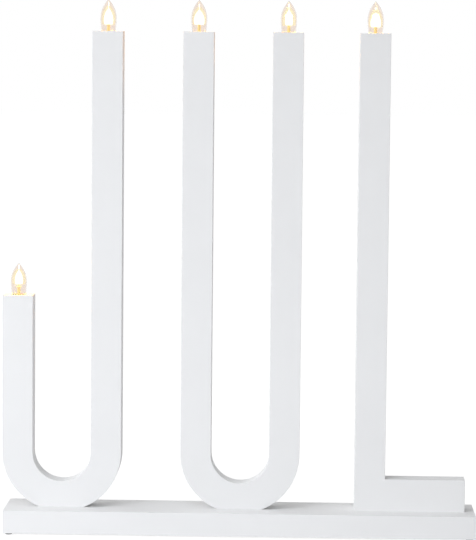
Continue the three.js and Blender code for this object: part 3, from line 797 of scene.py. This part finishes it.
# Lamp glasses
# Blown soda-lime glass in the shape of a candle's flame, 0.6 mm thick, cemented by its neck into the cap.
# The lit filament tints it, and its foot stands open in the arm's bore.
def bulb_outline(seat, belly, tip):
    """Radius and height up the outside of the bulb, on two Bezier curves that meet at its widest place."""
    wide = 12.5
    rest = tip - wide
    lower = ((seat, 0), ((seat + belly) / 2, wide / 3), (belly, 2 * wide / 3), (belly, wide))
    upper = ((belly, wide), (belly, wide + 0.38 * rest), (0.62 * belly, wide + 0.72 * rest), (0, tip))
    outline = []
    for knots, first, last in ((lower, 0, 8), (upper, 1, 20)):
        for i in range(first, last + 1):
            t = i / last
            share = ((1 - t) ** 3, 3 * t * (1 - t) ** 2, 3 * t * t * (1 - t), t ** 3)
            outline.append(tuple(sum(s * knot[k] for s, knot in zip(share, knots)) for k in (0, 1)))
    return outline


def glass_finish():
    """Thin clear soda-lime glass, smooth from the flame, with the warm tint of the light in it."""
    material, tree = empty_material("clear_soda_lime_glass")
    place_on = add_node(tree, "TexCoord").outputs["Object"]
    # Blowing leaves slow waves, 8 mm long.
    waves = add_node(tree, "TexNoise", {"Vector": place_on, "Scale": 120, "Detail": 1})
    tint = add_node(tree, "MixRGB", {0: waves.outputs["Fac"], 1: linear("#f4ebe4"), 2: linear("#f8f1eb")})
    glass = add_node(tree, "BsdfPrincipled", {
        "Base Color": tint.outputs["Color"], "Roughness": 0.0, "IOR": 1.5, "Transmission Weight": 1.0})
    return surfaced(material, glass)


glass = turned("glass", [
    (2.995, -8), (3.595, -8), (3.595, -5.1), (3.9, -4.75), (4.6, -4.7), (5.4, -4.1), (6.2, -2.4),
    *bulb_outline(6.8, 7.7, 30), *bulb_outline(6.2, 7.1, 29.6)[::-1],
    (5.6, -2.2), (4.85, -3.6), (4.3, -4.1), (3.3, -4.2), (2.995, -4.6), (2.995, -8)], 64)
smooth(glass, 60)
on_every_arm(glass, "lamp_glass", "lamp_{}", "lamp_glass", glass_finish(), "glass")
for i in range(1, 6):
    bpy.data.objects[f"lamp_glass_{i}"].visible_shadow = False
    bpy.data.objects[f"lamp_glass_{i}"].visible_diffuse = False


# Light of the filaments
# The lit filament fills its glass: a white core in the shape of a flame, and two skins of warmer light round
# it that thin towards the glass. A small warm lamp in each glass lights the arm's top.
def glow_finish(name, colour, strength, cover):
    """Light from hot tungsten, as much of it as covers what lies behind."""
    material, tree = empty_material(name)
    light = add_node(tree, "Emission", {"Color": linear(colour), "Strength": strength})
    clear = add_node(tree, "BsdfTransparent", {"Color": (1, 1, 1, 1)})
    skin = add_node(tree, "MixShader", {0: cover, 1: clear.outputs[0], 2: light.outputs[0]})
    return surfaced(material, skin)


core_foot = 7.8
core = turned("glow", [
    (0, core_foot), (3.3, core_foot), (3.6, 9), (3.75, 11), (3.7, 13), (3.4, 15), (2.8, 17), (2.0, 18.8),
    (1.1, 20.2), (0.4, 21.2), (0.2, 22.5), (0.2, 26.5), (0, 27)])
core.data.materials.append(glow_finish("filament_glow_core", "#fffdf6", 4.0, 1.0))
for name, colour, cover, profile in (
        ("filament_glow_middle", "#fbf8d6", 0.55, [
            (0, 7.7), (5.3, 7.7), (5.8, 9.5), (6.0, 12), (5.8, 15), (5.1, 18), (4.0, 20.6), (2.6, 22.6),
            (1.2, 24), (0, 24.5)]),
        ("filament_glow_rim", "#f6e9be", 0.3, [
            (0, 7.6), (6.2, 7.6), (6.7, 9.5), (6.9, 12.5), (6.7, 15.5), (5.9, 18.5), (4.7, 21), (3.3, 22.8),
            (1.6, 24.2), (0, 24.8)])):
    skin = turned("skin", profile)
    skin.data.materials.append(glow_finish(name, colour, 1.12, cover))
    join(core, skin)
smooth(core, 60)
on_every_arm(core, "filament_glow", "lamp_{}", "lamp_stem", None)
# No two lamps burn alike. Each one's light is lifted by so many millimetres, then its core is widened and
# heightened and its skins are heightened, by so many times.
for i, (lift, core_width, core_height, skin_height) in enumerate((
        (2.2, 1.0, 0.96, 0.87), (-1.6, 1.15, 1.1, 1.05), (-1, 1.3, 1.0, 1.0), (-1, 0.95, 1.05, 1.0),
        (-2, 1.3, 0.95, 1.0)), 1):
    glow = bpy.data.objects[f"filament_glow_{i}"]
    glow.visible_shadow = False
    glow.visible_diffuse = False
    seat = arm_end(i)
    foot = (seat + Vector((0, 0, core_foot))) * mm
    in_core = {k for face in glow.data.polygons if face.material_index == 0 for k in face.vertices}
    for vertex in glow.data.vertices:
        width, height = (core_width, core_height) if vertex.index in in_core else (1, skin_height)
        x, y, z = vertex.co - foot
        vertex.co = foot + Vector((x * width, y * width, z * height + lift * mm))
    lamp = bpy.data.objects.new(f"filament_light_{i}", bpy.data.lights.new(f"filament_light_{i}", "POINT"))
    bpy.context.scene.collection.objects.link(lamp)
    lamp.data.energy = 0.065
    lamp.data.color = (1.0, 0.45, 0.08)
    lamp.data.shadow_soft_size = 4 * mm
    lamp.location = (seat + Vector((0, 0, 15))) * mm
